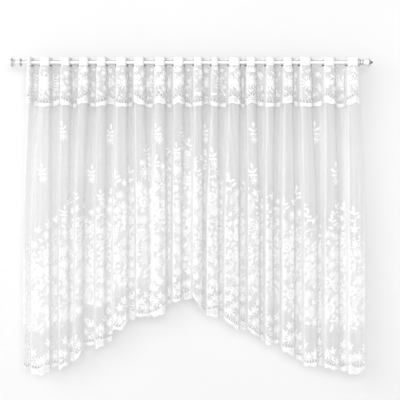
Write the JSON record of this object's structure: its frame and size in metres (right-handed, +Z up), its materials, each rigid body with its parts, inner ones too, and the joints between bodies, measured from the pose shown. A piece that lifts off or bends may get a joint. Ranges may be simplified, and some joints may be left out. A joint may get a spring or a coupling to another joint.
{
  "type": "tulle curtain with valance on a curtain rod",
  "caption": "Sheer tulle curtain with an arched scalloped hem and a short scalloped valance, its stiff heading tape threaded on a white rod with turned finials.",
  "frame": {"origin": "on the rod's axis, half way between the two finials", "axes": "+X along the rod to the right as seen from the room, +Y towards the wall, +Z up"},
  "size_m": [1.8286, 0.0658, 1.5806],
  "materials": {
    "rod": "white gloss lacquer",
    "finial": "white gloss lacquer",
    "tape": "stiff woven white heading tape",
    "panel_net": "sheer white tulle with opaque lace flowers",
    "valance_net": "sheer white tulle with opaque lace flowers"
  },
  "bodies": {
    "root": {"rod": "rod", "finial_left": "finial", "finial_right": "finial", "heading_tape": "tape", "main_panel": "panel_net", "valance": "valance_net"}
  },
  "joints": []
}
